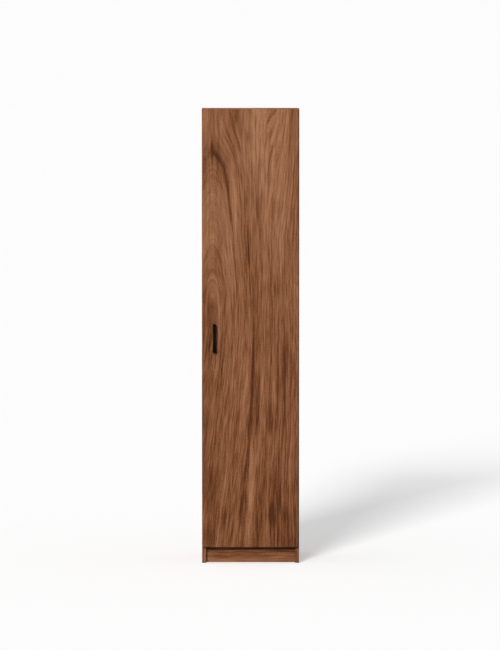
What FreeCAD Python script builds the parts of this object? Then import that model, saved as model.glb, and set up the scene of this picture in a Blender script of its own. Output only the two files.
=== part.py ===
import FreeCAD, Part
import math
import os
import re
import Sketcher

# Broom cupboard: a tall cabinet of 16 mm board with one door on four concealed hinges.
# +X is to the right, +Y to the back and +Z up. The origin is on the floor, in the middle of
# the cupboard's outline with its handle. All lengths are in millimetres, and each piece takes
# its size and place from the sheet "Sizes".

Vector = FreeCAD.Vector
doc = FreeCAD.newDocument("broom_cupboard")

SIZES = {
    # Carcass
    "width": 395,
    "height": 1850,
    "carcass_depth": 380,
    "board": 16,
    "foot_height": 4,
    "base_height": 65,                # floor to the underside of the bottom panel
    "top_space": 384,                 # clear height between the fixed shelf and the top panel
    "plinth_setback": 22,
    "plinth_gap": 1,                  # floor to the plinth
    # Back
    "back_sheet": 3,
    "back_play": 0.15,                # free play each side of the sheet in its groove
    "groove_inset": 10,               # rear edge to the groove
    "groove_depth": 7,
    "groove_end_play": 0.5,
    "back_joint": 1,                  # gap between the two sheets, behind the fixed shelf
    # Adjustable shelf
    "shelf_setback": 20,
    "shelf_side_play": 1,
    "shelf_back_play": 1,
    "row_setback": 37,                # front edge to the front row of holes
    "rear_row_setback": 60,
    "first_pin_rise": 89,             # fixed shelf to the lowest holes
    "pin_pitch": 32,
    "pin_count": 6,
    "shelf_step": 3,                  # holes of the row below the shelf's own
    "shelf_pin": 5,
    "shelf_pin_in": 9,
    "shelf_pin_out": 8,
    "shelf_pin_collar": 8,
    "shelf_pin_collar_thickness": 0.7,
    "pin_hole_depth": 10,
    # Door
    "door_gap": 2,                    # door to the carcass's front edges
    "door_reveal": 4,                 # each side panel's edge that shows beside the door
    "door_top_reveal": 3,
    "door_bottom_reveal": 2,          # door above the bottom panel's underside
    "edge_round": 0.8,
    "bumper": 8,
    "bumper_thickness": 1.7,
    "bumper_bevel": 0.8,
    "bumper_inset": 6,
    "bumper_end_inset": 12,
    # Handle
    "handle_inset": 47,               # door edge to the handle's middle line
    "handle_height": 918,             # floor to the handle's middle
    "handle_length": 116,
    "handle_spacing": 96,
    "handle_reach": 28,
    "handle_bar": 8,
    "handle_foot": 15.5,
    "handle_width": 12.5,
    "handle_waist": 10.4,
    "handle_waist_length": 44,
    "handle_taper": 16,
    "handle_bend": 17,
    "handle_inner_bend": 9,
    "handle_edge_round": 1.8,
    "handle_screw": 4,
    "handle_screw_length": 24,
    "handle_screw_head": 8,
    "handle_screw_head_height": 2.6,
    "handle_screw_fit": 0.25,
    # Hinges
    "hinge_end_inset": 100,           # door ends to the first and last hinge
    "cup_inset": 21,                  # door edge to the cup's middle
    "cup": 34.8,
    "cup_depth": 12.6,
    "cup_wall": 1.1,
    "cup_floor": 0.6,
    "cup_fit": 0.1,
    "cup_end_play": 0.2,
    "flange_thickness": 1.2,
    "flange_rim": 1.5,
    "flange_wing": 31,                # cup's middle to the end of each wing
    "flange_wing_width": 15,
    "flange_corner": 4,
    "flange_screw_pitch": 48,
    "flange_screw_offset": 6,         # cup's middle to the line of the screws
    "cup_notch_depth": 2.4,           # notch in the rim, where the outer link passes when open
    "cup_notch_play": 0.6,
    "arm_outer_pivot_in": 31.1,       # inboard of the side panel's inner face
    "arm_outer_pivot_back": 8.3,      # behind the carcass's front edges
    "arm_inner_pivot_in": 21.5,
    "arm_inner_pivot_ahead": 11.5,    # ahead of the carcass's front edges
    "cup_outer_pivot_out": 0.6,       # outboard of the side panel's inner face
    "cup_outer_pivot_ahead": 3.9,
    "cup_inner_pivot_in": 4.1,
    "cup_inner_pivot_ahead": 8.3,
    "hinge_pin": 2.4,
    "hinge_pin_fit": 0.05,
    "cup_pin_reach": 14,              # half the length of the pin in the cup
    "link_pin_reach": 12,             # half the length of the inner link's free pin
    "outer_link_eye": 2.2,
    "outer_link_reach": 5,
    "link_sheet": 1.1,
    "inner_link_eye": 2.3,
    "inner_link_reach": 3.7,
    "arm_reach": 6.2,
    "arm_sheet": 1.0,
    "arm_eye": 2.6,
    "arm_tip": 2.3,
    "arm_height": 14,
    "arm_rear": 58,                   # front edges to the arm's rear end
    "arm_bend": 30,                   # front edges to the arm's bend
    "plate_setback": 37,
    "plate_sheet": 2,
    "plate_front": 20,
    "plate_rear": 61,
    "plate_half_width": 7.5,
    "plate_wing": 23,
    "plate_wing_width": 13,
    "plate_screw_pitch": 32,
    "saddle_height": 8,
    "saddle_front": 25,
    "saddle_rear": 57,
    "saddle_play": 0.3,
    "adjuster": 5,
    "adjuster_length": 7.6,
    "adjuster_setback": 37,
    "fixing_screw": 4,
    "fixing_screw_length": 9,
    "fixing_screw_head": 7.6,
    "fixing_screw_head_height": 2.4,
    "fixing_screw_setback": 49,
    # Fasteners
    "fit": 0.05,                      # free play all round a fastener in its hole
    "dowel": 8,
    "dowel_in_side": 10.5,
    "dowel_in_end": 19.5,
    "dowel_end_play": 0.5,
    "dowel_setback": 84,
    "plinth_dowel_inset": 16,
    "cam": 15,
    "cam_height": 12.4,
    "cam_pocket": 12.8,
    "cam_reach": 34,                  # panel end to the cam's middle
    "cam_setback": 48,
    "cam_slot": 7.4,
    "cam_slot_past": 1,               # the slot past the cam's middle
    "cam_recess": 8,
    "cam_recess_width": 1.9,
    "cam_recess_depth": 2.4,
    "bolt_thread": 5,
    "bolt_thread_length": 11,
    "bolt_shank": 6.8,
    "bolt_shank_length": 24,
    "bolt_neck": 4,
    "bolt_head": 6.6,
    "bolt_head_length": 3.5,
    "bolt_bore": 8,
    "cap": 17,
    "cap_thickness": 1.1,
    "cap_bevel": 0.5,
    "cap_stem": 1.6,
    "cap_stem_length": 2,
    "wood_screw": 3.5,
    "wood_screw_length": 15,
    "cup_screw_length": 12,
    "wood_screw_tip": 3,
    "wood_screw_head": 7,
    "wood_screw_head_height": 1.9,
    "screw_clearance": 0.3,           # free play all round a screw in metal or plastic
    "head_chamfer": 0.9,
    "recess_span": 3.6,
    "recess_width": 1,
    "recess_depth": 1.1,
    "end_chamfer": 0.8,               # on dowels, bolts and glides
    "pin_chamfer": 0.3,
    "nail": 1.6,
    "nail_length": 20,
    "nail_head": 4,
    "nail_head_height": 0.8,
    "nail_inset": 4,                  # sheet edge to the nails behind the fixed shelf
    "glide": 16.5,
    "glide_nail": 2,
    "glide_nail_length": 14,
    "glide_inset": 9.5,               # carcass edge to the glide's middle
    "block_leg": 20,
    "block_sheet": 3,
    "block_width": 20,
    "block_inset": 60,                # panel end to the block's middle
    "bracket_leg": 30,
    "bracket_sheet": 2,
    "bracket_width": 40,
    "bracket_screw_pitch": 22,
    "wall_hole": 5.5,
    "wall_hole_in_sheet": 8,
}

# Lengths worked out from the sizes
INSIDE = "(width - 2*board)"
OVERALL = "(handle_reach + board + door_gap + carcass_depth)"
FRONT = f"({OVERALL}/2 - carcass_depth)"
SHORT_DEPTH = "(carcass_depth - groove_inset - back_play - back_sheet)"
SHEET_FACE = f"({FRONT} + {SHORT_DEPTH})"
SIDE_HEIGHT = "(height - foot_height)"
INNER_FACE = "(width/2 - board)"
DOOR_BACK = f"({FRONT} - door_gap)"
DOOR_WIDTH = "(width - 2*door_reveal)"
DOOR_BOTTOM = "(base_height + door_bottom_reveal)"
DOOR_HEIGHT = f"(height - door_top_reveal - {DOOR_BOTTOM})"
PLINTH_HEIGHT = "(base_height - plinth_gap)"
FIXED_SHELF = "(height - 2*board - top_space)"
SHEET_JOINT = f"({FIXED_SHELF} + board/2)"
FIRST_PIN = f"({FIXED_SHELF} + board + first_pin_rise)"
PIN_HEIGHT = f"({FIRST_PIN} + shelf_step*pin_pitch)"
SHELF_HEIGHT = f"({PIN_HEIGHT} + shelf_pin/2)"
HINGE_NUMBERS = (1, 2, 3, 4)
HINGE_SPAN = f"({DOOR_HEIGHT} - 2*hinge_end_inset)/{len(HINGE_NUMBERS) - 1}"
HINGE_HEIGHTS = [f"({DOOR_BOTTOM} + hinge_end_inset + {number - 1}*{HINGE_SPAN})" for number in HINGE_NUMBERS]
BLOCK_SCREW = "(block_leg/2 + block_sheet/2)"
BRACKET_SCREW = "(bracket_leg/2 + bracket_sheet/2)"
NAIL_PLACES = [f"{INSIDE}*{step}/8" for step in (-3, -1, 1, 3)]

# Horizontal panels that the sides hold: underside above the floor, and depth
SHELVES = {
    "top_panel": ("(height - board)", "carcass_depth"),
    "bottom_panel": ("base_height", SHORT_DEPTH),
    "fixed_shelf": (FIXED_SHELF, SHORT_DEPTH),
}

sheet = doc.addObject("Spreadsheet::Sheet", "Sizes")
for row, (name, value) in enumerate(SIZES.items(), start=1):
    sheet.set(f"A{row}", name)
    sheet.set(f"B{row}", str(value))
    sheet.setAlias(f"B{row}", name)
doc.recompute()

pieces = []
TOUCH = 0.001                         # how near an edge counts as lying at a place


def formula(text):
    """Write a formula of size names as an expression on the sheet."""
    return re.sub(r"[a-z_]+", lambda word: "Sizes." + word[0] if word[0] in SIZES else word[0], text)


def place(piece, x="0", y="0", z="0", axis=Vector(0, 0, 1), turn="0"):
    """Turn a piece about an axis and bind its place and turn to the sizes."""
    piece.Placement = FreeCAD.Placement(Vector(), FreeCAD.Rotation(axis, 1))
    piece.setExpression("Placement.Rotation.Angle", formula(turn))
    for letter, value in zip("xyz", (x, y, z)):
        piece.setExpression("Placement.Base." + letter, formula(value))


def start_body(name):
    body = doc.addObject("PartDesign::Body", name)
    body.Label = name
    return body


def start_piece(name):
    """Start a body that is a piece of the cupboard."""
    body = start_body(name)
    pieces.append(body)
    return body


def start_sketch(body, name, plane, offset="0"):
    """Start a sketch parallel to one of the body's own planes: XY, XZ or YZ."""
    support = [part for part in body.Origin.OriginFeatures if part.Role == plane + "_Plane"][0]
    sketch = body.newObject("Sketcher::SketchObject", name)
    sketch.AttachmentSupport = [(support, "")]
    sketch.MapMode = "FlatFace"
    sketch.setExpression("AttachmentOffset.Base.z", formula(offset))
    return sketch


def bind(sketch, kind, value, *where):
    """Add a measure to a sketch and bind it to a formula; the last of where is its drawn value."""
    index = sketch.addConstraint(Sketcher.Constraint(kind, *where))
    sketch.setExpression(f"Constraints[{index}]", formula(value))


def bind_point(sketch, shape, vertex, x, y, drawn):
    """Bind a point of a sketch, drawn at one place, to the place it belongs."""
    bind(sketch, "DistanceX", x, -1, 1, shape, vertex, drawn.x)
    bind(sketch, "DistanceY", y, -1, 1, shape, vertex, drawn.y)


def draw_outline(sketch, points):
    """Draw a closed outline of straight edges."""
    turns = [2*math.pi*index/len(points) for index in range(len(points))]
    guesses = [Vector(math.cos(turn), math.sin(turn), 0) for turn in turns]
    edges = []
    for index, guess in enumerate(guesses):
        edges.append(sketch.addGeometry(Part.LineSegment(guess, guesses[(index + 1) % len(points)])))
    for index, (x, y) in enumerate(points):
        sketch.addConstraint(Sketcher.Constraint("Coincident", edges[index - 1], 2, edges[index], 1))
        bind_point(sketch, edges[index], 1, x, y, guesses[index])


def draw_rectangle(sketch, left, low, right, high):
    draw_outline(sketch, [(left, low), (right, low), (right, high), (left, high)])


def draw_circles(sketch, diameter, centres):
    for x, y in centres:
        ring = sketch.addGeometry(Part.Circle(Vector(0, 0, 0), Vector(0, 0, 1), 1))
        bind_point(sketch, ring, 3, x, y, Vector(0, 0, 0))
        bind(sketch, "Diameter", diameter, ring, 2)


def draw_bar(sketch, length, radius):
    """Draw a bar with round ends, from the sketch's origin along its X axis."""
    drawn_length = 10
    corners = [Vector(0, 1, 0), Vector(drawn_length, 1, 0), Vector(drawn_length, -1, 0), Vector(0, -1, 0)]
    top = sketch.addGeometry(Part.LineSegment(corners[0], corners[1]))
    low = sketch.addGeometry(Part.LineSegment(corners[2], corners[3]))
    right_circle = Part.Circle(Vector(drawn_length, 0, 0), Vector(0, 0, 1), 1)
    left_circle = Part.Circle(Vector(0, 0, 0), Vector(0, 0, 1), 1)
    right = sketch.addGeometry(Part.ArcOfCircle(right_circle, -math.pi/2, math.pi/2))
    left = sketch.addGeometry(Part.ArcOfCircle(left_circle, math.pi/2, 3*math.pi/2))
    for pair in ((top, 1, left, 1), (top, 2, right, 2), (low, 1, right, 1), (low, 2, left, 2)):
        sketch.addConstraint(Sketcher.Constraint("Coincident", *pair))
    bind_point(sketch, top, 1, "0", radius, corners[0])
    bind_point(sketch, top, 2, length, radius, corners[1])
    bind_point(sketch, low, 1, length, "-" + radius, corners[2])
    bind_point(sketch, low, 2, "0", "-" + radius, corners[3])
    bind(sketch, "DistanceX", "0", -1, 1, left, 3, 0)
    bind(sketch, "DistanceX", length, -1, 1, right, 3, drawn_length)


def pad(body, sketch, length):
    """Thicken a sketch along its plane's normal: XY to +Z, XZ to -Y and YZ to +X."""
    feature = body.newObject("PartDesign::Pad", sketch.Name + "_pad")
    feature.Profile = sketch
    feature.setExpression("Length", formula(length))
    doc.recompute()
    return feature


def pocket(body, sketch, depth, along_normal=False):
    """Cut a sketch into a body, against its plane's normal or along it."""
    before = body.Shape.Volume
    feature = body.newObject("PartDesign::Pocket", sketch.Name + "_cut")
    feature.Profile = sketch
    feature.Reversed = along_normal
    feature.setExpression("Length", formula(depth))
    doc.recompute()
    if body.Shape.Volume >= before:
        raise ValueError(f"{feature.Name} cuts nothing")
    return feature


def drill(body, name, plane, offset, diameter, centres, depth, along_normal=False):
    """Drill round holes into a body, square to one of its planes."""
    sketch = start_sketch(body, name, plane, offset)
    draw_circles(sketch, diameter, centres)
    return pocket(body, sketch, depth, along_normal)


def cut_rectangle(body, name, plane, offset, corners, depth, along_normal=False):
    sketch = start_sketch(body, name, plane, offset)
    draw_rectangle(sketch, *corners)
    return pocket(body, sketch, depth, along_normal)


def cut_cross(body, name, height, span, width, depth, along_normal=False):
    """Cut a cross recess about the Z axis."""
    far, near = f"{span}/2", f"{width}/2"
    sketch = start_sketch(body, name, "XY", height)
    low_far, low_near = "-" + far, "-" + near
    draw_outline(sketch, [
        (near, near), (near, far), (low_near, far), (low_near, near), (low_far, near), (low_far, low_near),
        (low_near, low_near), (low_near, low_far), (near, low_far), (near, low_near), (far, low_near),
        (far, near)])
    return pocket(body, sketch, depth, along_normal)


def turn_profile(body, name, profile):
    """Turn a closed half profile of (radius, height) points about the Z axis."""
    sketch = start_sketch(body, name, "XZ")
    draw_outline(sketch, profile)
    feature = body.newObject("PartDesign::Revolution", name + "_turn")
    feature.Profile = sketch
    feature.ReferenceAxis = (sketch, ["V_Axis"])
    doc.recompute()
    return feature


def lies_at(edge, letter, value):
    """Tell whether an edge lies square to an axis, at one place along it."""
    ends = (getattr(edge.BoundBox, letter + "Min"), getattr(edge.BoundBox, letter + "Max"))
    return max(abs(end - value) for end in ends) < TOUCH


def runs_along(edge, letter):
    """Tell whether an edge is straight and runs along one axis."""
    lengths = {name: getattr(edge.BoundBox, name + "Length") for name in "XYZ"}
    return lengths.pop(letter) > TOUCH and max(lengths.values()) < TOUCH


def round_edges(body, name, radius, chosen):
    """Round the edges that the test picks."""
    names = [f"Edge{number}" for number, edge in enumerate(body.Shape.Edges, start=1) if chosen(edge)]
    base = body.Tip
    feature = body.newObject("PartDesign::Fillet", name)
    feature.Base = (base, names)
    feature.setExpression("Radius", formula(radius))
    doc.recompute()
    return feature


def group(label, master, places):
    """Set out copies of one piece as separate solids: each place is (x, y, z, axis, turn)."""
    links = []
    for number, spot in enumerate(places, start=1):
        link = doc.addObject("App::Link", f"{label}_{number}")
        link.LinkedObject = master
        place(link, *spot)
        links.append(link)
    compound = doc.addObject("Part::Compound", label)
    compound.Label = label
    compound.Links = links
    pieces.append(compound)


X_AXIS = Vector(1, 0, 0)
Y_AXIS = Vector(0, 1, 0)
Z_AXIS = Vector(0, 0, 1)


# Side panels: they stand on the glides and hold the shelves, the plinth, the back and the hinges
def side_panel(name, on_right):
    panel = start_piece(name)
    inner = "0" if on_right else "board"
    outline = start_sketch(panel, name + "_outline", "YZ")
    draw_rectangle(outline, "0", "0", "carcass_depth", SIDE_HEIGHT)
    pad(panel, outline, "board")
    rear = "(carcass_depth - groove_inset)"
    groove = (f"({rear} - back_sheet - 2*back_play)", "0", rear, SIDE_HEIGHT)
    cut_rectangle(panel, name + "_groove", "YZ", inner, groove, "groove_depth", on_right)
    bolts = []
    dowels = []
    for underside, depth in SHELVES.values():
        middle = f"({underside} + board/2 - foot_height)"
        bolts += [("cam_setback", middle), (f"({depth} - cam_setback)", middle)]
        dowels += [("dowel_setback", middle), (f"({depth} - dowel_setback)", middle)]
    for inset in ("plinth_dowel_inset", f"({PLINTH_HEIGHT} - plinth_dowel_inset)"):
        dowels.append(("(plinth_setback + board/2)", f"(plinth_gap - foot_height + {inset})"))
    bolt_depth = "(bolt_thread_length + fit)"
    dowel_depth = "(dowel_in_side + dowel_end_play)"
    drill(panel, name + "_bolts", "YZ", inner, "(bolt_thread + 2*fit)", bolts, bolt_depth, on_right)
    drill(panel, name + "_dowels", "YZ", inner, "(dowel + 2*fit)", dowels, dowel_depth, on_right)
    glides = [("board/2", "glide_inset"), ("board/2", "(carcass_depth - glide_inset)")]
    glide_depth = "(glide_nail_length + fit)"
    drill(panel, name + "_glides", "XY", "0", "(glide_nail + 2*fit)", glides, glide_depth, True)
    if on_right:
        screws = []
        for hinge_height in HINGE_HEIGHTS:
            for sign in "+-":
                screws.append(("plate_setback", f"({hinge_height} - foot_height {sign} plate_screw_pitch/2)"))
        screw_depth = "(wood_screw_length - plate_sheet + fit)"
        drill(panel, name + "_screws", "YZ", inner, "(wood_screw + 2*fit)", screws, screw_depth, True)
    lowest = f"({FIRST_PIN} - foot_height)"
    first = [("row_setback", lowest), ("(carcass_depth - rear_row_setback)", lowest)]
    hole = drill(panel, name + "_pins", "YZ", inner, "(shelf_pin + 2*fit)", first, "pin_hole_depth", on_right)
    rows = panel.newObject("PartDesign::LinearPattern", name + "_rows")
    rows.Originals = [hole]
    rows.Direction = (hole.Profile[0], ["V_Axis"])
    rows.setExpression("Length", formula("pin_pitch*(pin_count - 1)"))
    rows.setExpression("Occurrences", formula("pin_count"))
    panel.Tip = rows
    place(panel, INNER_FACE if on_right else "-width/2", FRONT, "foot_height")


side_panel("side_panel_left", False)
side_panel("side_panel_right", True)


# Top panel, bottom panel and fixed shelf: cams from below, dowels and bolts in both ends
def end_fittings(panel, name, depth):
    left = f"-{INSIDE}/2"
    bolts = [("cam_setback", "board/2"), (f"({depth} - cam_setback)", "board/2")]
    dowels = [("dowel_setback", "board/2"), (f"({depth} - dowel_setback)", "board/2")]
    cams = [(f"({left} + cam_reach)", y) for y, z in bolts]
    bore = drill(panel, name + "_bolts", "YZ", left, "bolt_bore", bolts, "cam_reach", True)
    dowel_depth = "(dowel_in_end + dowel_end_play)"
    pegs = drill(panel, name + "_dowels", "YZ", left, "(dowel + 2*fit)", dowels, dowel_depth, True)
    cups = drill(panel, name + "_cams", "XY", "0", "(cam + 2*fit)", cams, "cam_pocket", True)
    mirror = panel.newObject("PartDesign::Mirrored", name + "_other_end")
    mirror.Originals = [bore, pegs, cups]
    support = [part for part in panel.Origin.OriginFeatures if part.Role == "YZ_Plane"][0]
    mirror.MirrorPlane = (support, [""])
    panel.Tip = mirror
    doc.recompute()


def start_shelf(name, length, depth):
    shelf = start_piece(name)
    outline = start_sketch(shelf, name + "_outline", "XY")
    draw_rectangle(outline, f"-{length}/2", "0", f"{length}/2", depth)
    pad(shelf, outline, "board")
    return shelf


for name, (underside, depth) in SHELVES.items():
    shelf = start_shelf(name, INSIDE, depth)
    end_fittings(shelf, name, depth)
    if name == "top_panel":
        rear = "(carcass_depth - groove_inset)"
        groove = (f"-{INSIDE}/2", f"({rear} - back_sheet - 2*back_play)", f"{INSIDE}/2", rear)
        cut_rectangle(shelf, name + "_groove", "XY", "0", groove, "groove_depth", True)
        screw_line = f"({SHORT_DEPTH} - {BRACKET_SCREW})"
        screws = [(f"{sign}bracket_screw_pitch/2", screw_line) for sign in ("-", "")]
        depth_in_board = "(wood_screw_length - bracket_sheet + fit)"
        drill(shelf, name + "_screws", "XY", "0", "(wood_screw + 2*fit)", screws, depth_in_board, True)
    else:
        nail_heights = ["board/2"]
        if name == "fixed_shelf":
            nail_heights = ["(board/2 - nail_inset)", "(board/2 + nail_inset)"]
        nails = [(x, z) for x in NAIL_PLACES for z in nail_heights]
        depth_in_edge = "(nail_length - back_sheet + fit)"
        drill(shelf, name + "_nails", "XZ", f"-{depth}", "(nail + 2*fit)", nails, depth_in_edge, True)
    if name == "bottom_panel":
        screw_line = f"(plinth_setback + board + {BLOCK_SCREW})"
        screws = [(f"{sign}({INSIDE}/2 - block_inset)", screw_line) for sign in ("-", "")]
        depth_in_board = "(wood_screw_length - block_sheet + fit)"
        drill(shelf, name + "_screws", "XY", "0", "(wood_screw + 2*fit)", screws, depth_in_board, True)
    place(shelf, "0", FRONT, underside)

# Adjustable shelf: it lies loose on four pins
SHELF_DEPTH = f"({SHORT_DEPTH} - shelf_setback - shelf_back_play)"
shelf = start_shelf("adjustable_shelf", f"({INSIDE} - 2*shelf_side_play)", SHELF_DEPTH)
place(shelf, "0", f"({FRONT} + shelf_setback)", SHELF_HEIGHT)

# Plinth: set back under the bottom panel, with a dowel in each end and two corner blocks behind
plinth = start_piece("plinth")
outline = start_sketch(plinth, "plinth_outline", "XY")
draw_rectangle(outline, f"-{INSIDE}/2", "0", f"{INSIDE}/2", "board")
pad(plinth, outline, PLINTH_HEIGHT)
pegs = [("board/2", "plinth_dowel_inset"), ("board/2", f"({PLINTH_HEIGHT} - plinth_dowel_inset)")]
peg_depth = "(dowel_in_end + dowel_end_play)"
drill(plinth, "plinth_left_pegs", "YZ", f"-{INSIDE}/2", "(dowel + 2*fit)", pegs, peg_depth, True)
drill(plinth, "plinth_right_pegs", "YZ", f"{INSIDE}/2", "(dowel + 2*fit)", pegs, peg_depth)
screws = [(f"{sign}({INSIDE}/2 - block_inset)", f"({PLINTH_HEIGHT} - {BLOCK_SCREW})") for sign in ("-", "")]
depth_in_board = "(wood_screw_length - block_sheet + fit)"
drill(plinth, "plinth_screws", "XZ", "-board", "(wood_screw + 2*fit)", screws, depth_in_board, True)
place(plinth, "0", f"({FRONT} + plinth_setback)", "plinth_gap")


# Back: two thin sheets in the sides' grooves, which meet behind the fixed shelf
def back_sheet(name, low, high, nail_heights):
    panel = start_piece(name)
    half = f"({INSIDE}/2 + groove_depth - groove_end_play)"
    outline = start_sketch(panel, name + "_outline", "XZ")
    draw_rectangle(outline, f"-{half}", "0", half, f"({high} - {low})")
    pad(panel, outline, "back_sheet")
    nails = [(x, f"({height} - {low})") for x in NAIL_PLACES for height in nail_heights]
    drill(panel, name + "_nails", "XZ", "0", "(nail + 2*fit)", nails, "back_sheet", True)
    place(panel, "0", f"({SHEET_FACE} + back_sheet)", low)
    return panel


LOWER_NAILS = ("(base_height + board/2)", f"({SHEET_JOINT} - nail_inset)")
UPPER_NAILS = (f"({SHEET_JOINT} + nail_inset)",)
UPPER_LOW = f"({SHEET_JOINT} + back_joint/2)"
UPPER_HIGH = "(height - board + groove_depth - groove_end_play)"
back_sheet("back_panel_lower", "base_height", f"({SHEET_JOINT} - back_joint/2)", LOWER_NAILS)
upper = back_sheet("back_panel_upper", UPPER_LOW, UPPER_HIGH, UPPER_NAILS)
wall_hole = [("0", f"(height - board - {BRACKET_SCREW} - {UPPER_LOW})")]
drill(upper, "back_wall_hole", "XZ", "0", "wall_hole_in_sheet", wall_hole, "back_sheet", True)

# Door: cups and handle screws go in from the back
door = start_piece("door_panel")
outline = start_sketch(door, "door_outline", "XZ")
draw_rectangle(outline, "0", "0", DOOR_WIDTH, DOOR_HEIGHT)
pad(door, outline, "board")
round_edges(door, "door_edge_round", "edge_round", lambda edge: lies_at(edge, "Y", door.Shape.BoundBox.YMin))
CUP_MIDDLE = f"({DOOR_WIDTH} - cup_inset)"
cups = [(CUP_MIDDLE, f"({height} - {DOOR_BOTTOM})") for height in HINGE_HEIGHTS]
drill(door, "door_cups", "XZ", "0", "(cup + 2*cup_fit)", cups, "(cup_depth + cup_end_play)", True)
screws = []
for height in HINGE_HEIGHTS:
    for sign in "+-":
        across = f"({CUP_MIDDLE} - flange_screw_offset)"
        screws.append((across, f"({height} - {DOOR_BOTTOM} {sign} flange_screw_pitch/2)"))
screw_depth = "(cup_screw_length - flange_thickness + fit)"
drill(door, "door_cup_screws", "XZ", "0", "(wood_screw + 2*fit)", screws, screw_depth, True)
screws = [("handle_inset", f"(handle_height - {DOOR_BOTTOM} {sign} handle_spacing/2)") for sign in "+-"]
drill(door, "door_handle_screws", "XZ", "0", "(handle_screw + 2*handle_screw_fit)", screws, "board", True)
place(door, f"-{DOOR_WIDTH}/2", DOOR_BACK, DOOR_BOTTOM)

# Handle: a bow with a narrower grip, held by two screws through the door
handle = start_piece("handle")
outline = start_sketch(handle, "handle_outline", "YZ", "-handle_width/2")
draw_rectangle(outline, "-handle_reach", "-handle_length/2", "0", "handle_length/2")
pad(handle, outline, "handle_width")
front = handle.Shape.BoundBox.YMin
round_edges(
    handle, "handle_bends", "handle_bend", lambda edge: runs_along(edge, "X") and lies_at(edge, "Y", front))
GRIP_BACK = "-(handle_reach - handle_bar)"
GAP_END = "(handle_length/2 - handle_foot)"
finger_gap = (GRIP_BACK, "-" + GAP_END, "0", GAP_END)
cut_rectangle(handle, "handle_gap", "YZ", "handle_width/2", finger_gap, "handle_width")
grip_line = SIZES["handle_bar"] - SIZES["handle_reach"]
round_edges(
    handle, "handle_inner_bends", "handle_inner_bend",
    lambda edge: runs_along(edge, "X") and lies_at(edge, "Y", grip_line))
waist = start_sketch(handle, "handle_waist", "XZ")
taper_end, waist_end = "(handle_waist_length/2 + handle_taper)", "handle_waist_length/2"
for side in ("-", ""):
    wide, narrow = f"{side}handle_width/2", f"{side}handle_waist/2"
    draw_outline(waist, [
        (wide, "-" + taper_end), (narrow, "-" + waist_end), (narrow, waist_end), (wide, taper_end)])
pocket(handle, waist, "handle_reach", True)
round_edges(
    handle, "handle_edges", "handle_edge_round",
    lambda edge: not runs_along(edge, "X") and not lies_at(edge, "Y", 0))
threads = [("0", f"{sign}handle_spacing/2") for sign in ("-", "")]
thread_depth = "(handle_screw_length - board + fit)"
drill(handle, "handle_threads", "XZ", "0", "(handle_screw + 2*fit)", threads, thread_depth, True)
HANDLE_X = f"(handle_inset - {DOOR_WIDTH}/2)"
place(handle, HANDLE_X, f"({DOOR_BACK} - board)", "handle_height")


# Hinges: the cup sits in the door, the arm on its plate on the right side panel
def hinge_cup(name, height):
    cup = start_piece(name)
    rim = "(cup/2 + flange_rim)"
    turn_profile(cup, name + "_bowl", [
        ("0", "-cup_depth"), ("(cup/2 - cup_wall)", "-cup_depth"), ("cup/2", "(cup_wall - cup_depth)"),
        ("cup/2", "0"), (rim, "0"), (rim, "flange_thickness"), ("0", "flange_thickness")])
    wings = start_sketch(cup, name + "_wings", "XY")
    middle = "-flange_screw_offset"
    left, right = f"({middle} - flange_wing_width/2)", f"({middle} + flange_wing_width/2)"
    draw_rectangle(wings, left, "-flange_wing", right, "flange_wing")
    pad(cup, wings, "flange_thickness")
    end = SIZES["flange_wing"]
    round_edges(
        cup, name + "_corners", "flange_corner",
        lambda edge: runs_along(edge, "Z") and (lies_at(edge, "Y", end) or lies_at(edge, "Y", -end)))
    hollow_depth = "(cup_depth + flange_thickness - cup_floor)"
    drill(cup, name + "_hollow", "XY", "flange_thickness", "(cup - 2*cup_wall)", [("0", "0")], hollow_depth)
    pin = [("(cup_outer_pivot_out + cup_inset - board + door_reveal)", "(door_gap - cup_outer_pivot_ahead)")]
    drill(cup, name + "_pin", "XZ", "cup_pin_reach", "(hinge_pin + 2*fit)", pin, "2*cup_pin_reach")
    notch_side = "(outer_link_reach + cup_notch_play)"
    notch = ("0", "-" + notch_side, "(cup/2 + 2*flange_rim)", notch_side)
    cut_rectangle(cup, name + "_notch", "XY", "flange_thickness", notch, "cup_notch_depth")
    screws = [(middle, f"{sign}flange_screw_pitch/2") for sign in ("-", "")]
    screw_hole = "(wood_screw + 2*screw_clearance)"
    drill(cup, name + "_screws", "XY", "flange_thickness", screw_hole, screws, "flange_thickness")
    place(cup, f"({DOOR_WIDTH}/2 - cup_inset)", DOOR_BACK, height, X_AXIS, "-90")


def hinge_plate(name, height):
    """Cross-shaped plate on the side panel, with a saddle for the arm."""
    plate = start_piece(name)
    near, far = "(plate_setback - plate_wing_width/2)", "(plate_setback + plate_wing_width/2)"
    half = [
        ("plate_front", "plate_half_width"), (near, "plate_half_width"), (near, "plate_wing"),
        (far, "plate_wing"), (far, "plate_half_width"), ("plate_rear", "plate_half_width")]
    base = start_sketch(plate, name + "_base", "YZ", "-plate_sheet")
    draw_outline(base, half + [(y, "-" + z) for y, z in reversed(half)])
    pad(plate, base, "plate_sheet")
    saddle = start_sketch(plate, name + "_saddle", "YZ", "-saddle_height")
    reach = "(arm_reach - arm_sheet - saddle_play)"
    draw_rectangle(saddle, "saddle_front", "-" + reach, "saddle_rear", reach)
    pad(plate, saddle, "(saddle_height - plate_sheet)")
    screws = [("plate_setback", f"{sign}plate_screw_pitch/2") for sign in ("-", "")]
    drill(plate, name + "_screws", "YZ", "0", "(wood_screw + 2*screw_clearance)", screws, "plate_sheet")
    fixing = [("fixing_screw_setback", "0")]
    depth = "(fixing_screw_length - arm_height + saddle_height + fit)"
    drill(plate, name + "_fixing", "YZ", "-saddle_height", "(fixing_screw + 2*fit)", fixing, depth, True)
    place(plate, INNER_FACE, FRONT, height)


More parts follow.
